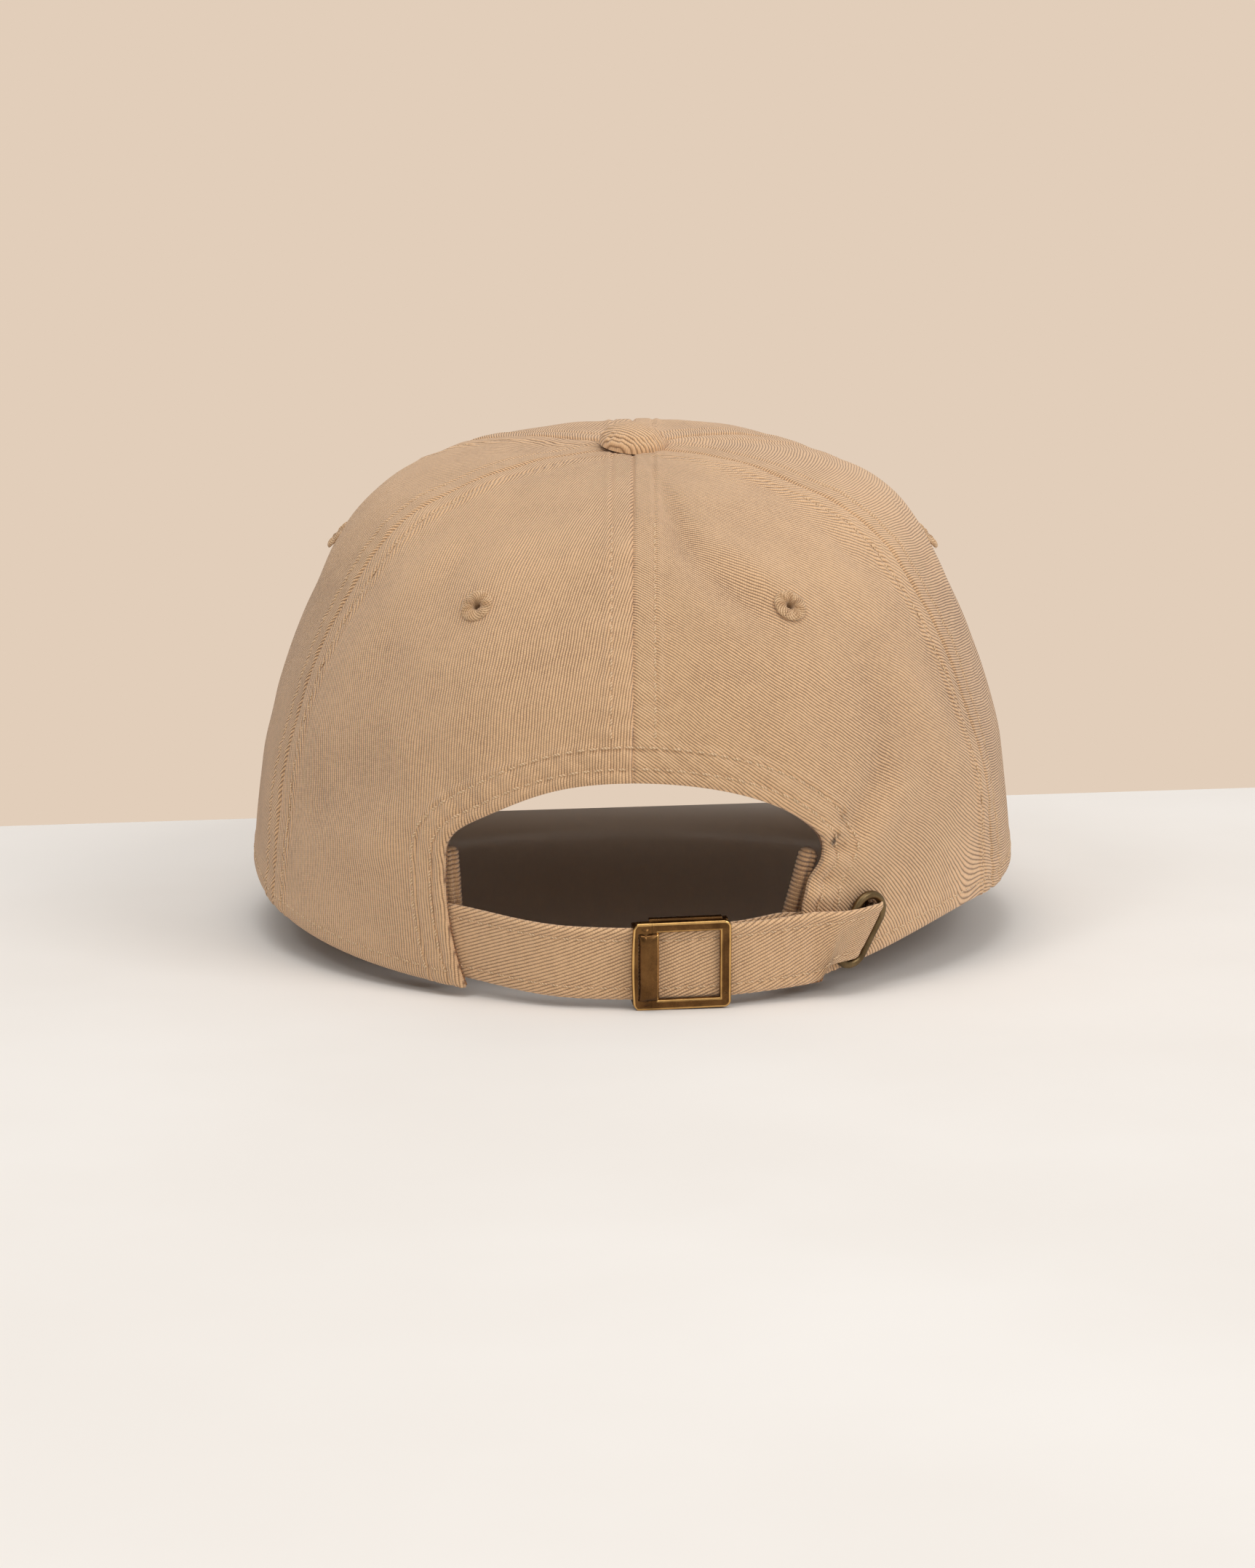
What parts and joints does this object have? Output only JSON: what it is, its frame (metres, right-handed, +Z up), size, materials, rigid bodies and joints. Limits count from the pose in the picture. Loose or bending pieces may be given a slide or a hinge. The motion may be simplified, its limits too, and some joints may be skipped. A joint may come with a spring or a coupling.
{
  "type": "baseball cap",
  "caption": "Unstructured cotton twill baseball cap with a curved brim, covered button, sewn eyelets and a rear strap with a brass clamp buckle and slot grommet.",
  "frame": {"origin": "under the centre of the head opening, on the surface that the cap lies on", "axes": "+Z up, +Y towards the brim, +X to the right as seen from the rear opening"},
  "size_m": [0.176, 0.2759, 0.1162],
  "materials": {
    "twill": "cotton twill, matt, diagonal ribs",
    "embroidery": "sewn thread, soft sheen",
    "seam_tape": "woven cotton tape",
    "sweatband": "cotton twill, rolled ends",
    "strap": "self-fabric twill strap with edge stitching",
    "brim_board": "plain moulded sheet",
    "antique_brass": "antique finish, brighter along edges",
    "grommet_metal": "antique finish, dark",
    "button_metal": "plain stamped"
  },
  "bodies": {
    "cap": {"front_panel_left": "twill", "front_panel_right": "twill", "side_panel_left": "twill", "side_panel_right": "twill", "back_panel_left": "twill", "back_panel_right": "twill", "seam_tape_front": "seam_tape", "seam_tape_front_left": "seam_tape", "seam_tape_front_right": "seam_tape", "seam_tape_back": "seam_tape", "seam_tape_back_left": "seam_tape", "seam_tape_back_right": "seam_tape", "arch_facing": "twill", "sweatband": "sweatband", "sweatband_roll_left": "sweatband", "sweatband_roll_right": "sweatband", "button_cover": "twill", "button_shell": "button_metal", "button_rivet": "button_metal", "eyelet_front_left": "embroidery", "eyelet_front_right": "embroidery", "eyelet_side_left": "embroidery", "eyelet_side_right": "embroidery", "eyelet_back_left": "embroidery", "eyelet_back_right": "embroidery", "brim_top_fabric": "twill", "brim_board": "brim_board", "brim_under_fabric": "twill", "strap": "strap", "grommet_front": "grommet_metal", "grommet_back": "grommet_metal"},
    "buckle": {"buckle_loop": "strap", "buckle_base": "antique_brass", "buckle_pin": "antique_brass"},
    "lever": {"buckle_lever": "antique_brass"}
  },
  "joints": [
    {"name": "buckle_slide", "type": "hinge", "parent": "cap", "child": "buckle", "pos_m": [0, -0.02479, 0.02149], "axis": [0, -0.1478, 0.989], "range_deg": [-4.5, 4.5]},
    {"name": "lever_flip", "type": "hinge", "parent": "buckle", "child": "lever", "pos_m": [0.00262, -0.1053, 0.00946], "axis": [0, 0.1478, -0.989], "range_deg": [0, 75]}
  ]
}
